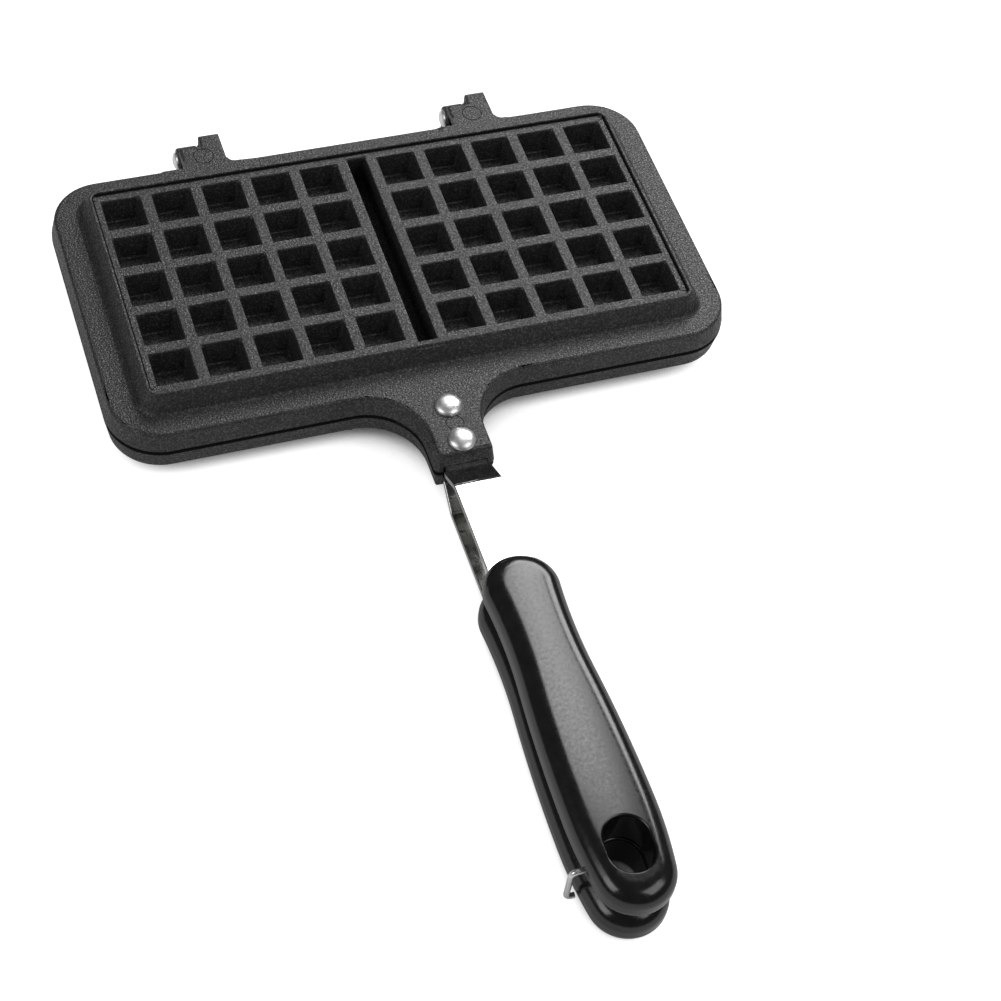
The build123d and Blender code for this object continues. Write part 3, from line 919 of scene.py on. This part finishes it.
hoop_route = [(HOOP_INNER, HOOP_TOP), (HOOP_OUT, HOOP_TOP), (HOOP_OUT, HOOP_LOW), (HOOP_END, HOOP_LOW)]
hoop_guide = guide_mesh("wire_hoop", [(x, HOOP_Y, PARTING + z) for x, z in hoop_route], joined=True)
hoop = grow("wire_hoop", wire_tree(), hoop_guide, {
    "Wire Radius": HOOP_WIRE, "Bend Radius": HOOP_BEND, "Metal": WIRE,
})
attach(hoop, "hoop")
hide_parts("locking_hoop")

MARK_Y = (RIVET_PLACES[0] + RIVET_PLACES[1]) / 2
MARK_PLACES = [(0, MARK_Y, NECK_MARK_RADIUS)]
MARK_PLACES += [(x, EAR_MARK_Y, EAR_MARK_RADIUS) for x in HINGE_MIDDLES]
marks = guide_mesh("upper_mould_marks", [(x, y, PARTING + FLANGE_TOP) for x, y, ring in MARK_PLACES])
ring_sizes = marks.attributes.new("ring", "FLOAT", "POINT")
ring_sizes.data.foreach_set("value", [ring for x, y, ring in MARK_PLACES])
# The witness rings take the painted groove shade: dark lines in place of the shadow in their grooves
upper_marks = grow("upper_mould_marks", mark_tree(), marks, {
    "Line Radius": MARK_LINE_RADIUS, "Skin": MARK_LINE,
})
lower_marks = new_object("lower_mould_marks", upper_to_lower(upper_marks.data, "lower_mould_marks"))
for item, half in ((upper_marks, "upper"), (lower_marks, "lower")):
    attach(item, half + "_half")


# Studio

FLOOR_DROP = 0.2 * MM


def floor():
    """Pale floor that keeps a soft shadow where the pan covers it from the sky."""
    half = 6.0
    mesh = mesh_from("floor", [(-half, -half, 0), (half, -half, 0), (half, half, 0), (-half, half, 0)],
                     [(0, 1, 2, 3)])
    material = bpy.data.materials.new("pale_floor")
    material.use_nodes = True
    tree = material.node_tree
    tree.nodes.clear()
    output = tree.nodes.new("ShaderNodeOutputMaterial")
    matt = tree.nodes.new("ShaderNodeBsdfDiffuse")
    matt.inputs["Color"].default_value = (0.55, 0.55, 0.55, 1)
    glow = tree.nodes.new("ShaderNodeEmission")
    glow.inputs["Color"].default_value = (1, 1, 1, 1)
    path = tree.nodes.new("ShaderNodeLightPath")
    cover = tree.nodes.new("ShaderNodeAmbientOcclusion")
    cover.inputs["Distance"].default_value = 0.03
    open_sky = tree.nodes.new("ShaderNodeMapRange")
    open_sky.inputs["From Min"].default_value = 0.18
    open_sky.inputs["From Max"].default_value = 0.44
    tree.links.new(cover.outputs["AO"], open_sky.inputs["Value"])
    seen = maths(tree, "MULTIPLY", path.outputs["Is Camera Ray"], 0.85)
    mirrored = maths(tree, "MULTIPLY", path.outputs["Is Glossy Ray"], 0.1)
    level = maths(tree, "MAXIMUM", seen, mirrored)
    strength = maths(tree, "MULTIPLY", level, open_sky.outputs["Result"])
    tree.links.new(strength, glow.inputs["Strength"])
    both = tree.nodes.new("ShaderNodeAddShader")
    tree.links.new(matt.outputs[0], both.inputs[0])
    tree.links.new(glow.outputs[0], both.inputs[1])
    tree.links.new(both.outputs[0], output.inputs["Surface"])
    mesh.materials.append(material)
    made = new_object("floor", mesh)
    made.location.z = -FLOOR_DROP


def studio_world():
    """Pale room: white behind the pan, dim in reflections and soft as fill."""
    world = bpy.data.worlds.new("studio")
    bpy.context.scene.world = world
    world.use_nodes = True
    tree = world.node_tree
    back = tree.nodes["Background"]
    path = tree.nodes.new("ShaderNodeLightPath")
    strength = 0.4
    for ray, level in (("Is Transmission Ray", 1.0), ("Is Glossy Ray", 0.07), ("Is Camera Ray", 1.0)):
        mix = tree.nodes.new("ShaderNodeMix")
        tree.links.new(path.outputs[ray], mix.inputs["Factor"])
        if isinstance(strength, float):
            mix.inputs["A"].default_value = strength
        else:
            tree.links.new(strength, mix.inputs["A"])
        mix.inputs["B"].default_value = level
        strength = mix.outputs["Result"]
    tree.links.new(strength, back.inputs["Strength"])
    back.inputs["Color"].default_value = (1, 1, 1, 1)


def softbox(name, place, target, width, height, power):
    """Rectangular lamp at a place, facing a target, with its power in watts."""
    light = bpy.data.lights.new(name, "AREA")
    light.shape = "RECTANGLE"
    light.size = width
    light.size_y = height
    light.energy = power
    made = bpy.data.objects.new(name, light)
    made.location = place
    made.rotation_euler = (Vector(target) - Vector(place)).to_track_quat("-Z", "Y").to_euler()
    bpy.context.scene.collection.objects.link(made)
    return made


def camera():
    """Camera solved from the middles of the fifty pockets."""
    place = (-0.2008, -0.5389, 0.6428)
    right = Vector((0.94448, -0.31335, 0.09888))
    up = Vector((0.19514, 0.77702, 0.59847))
    forward = Vector((0.26436, 0.54595, -0.79502))
    lens = bpy.data.cameras.new("camera")
    lens.sensor_width = 36.0
    lens.lens = 83.07
    made = bpy.data.objects.new("camera", lens)
    turn = Matrix((right, up, -forward)).transposed()
    made.matrix_world = Matrix.Translation(place) @ turn.to_4x4()
    bpy.context.scene.collection.objects.link(made)
    bpy.context.scene.camera = made


floor()
studio_world()
softbox("back_right", place=(0.82, 0.92, 1.084), target=(0.0, -0.1, 0.0),
        width=1.2, height=0.62, power=16.0)
softbox("top_back", place=(0.4376, 0.6529, 1.3444), target=(0.2436, -0.0731, -0.0686),
        width=0.285, height=0.47, power=2.9)
softbox("left", place=(-1.375, -0.345, 1.0), target=(0.0, -0.245, 0.0),
        width=1.03, height=0.8, power=7.5)
softbox("front_right", place=(0.764, -0.888, 1.226), target=(0.0, -0.1, 0.0),
        width=1.0, height=0.8, power=6.0)
camera()
bpy.context.scene.view_settings.view_transform = "Standard"
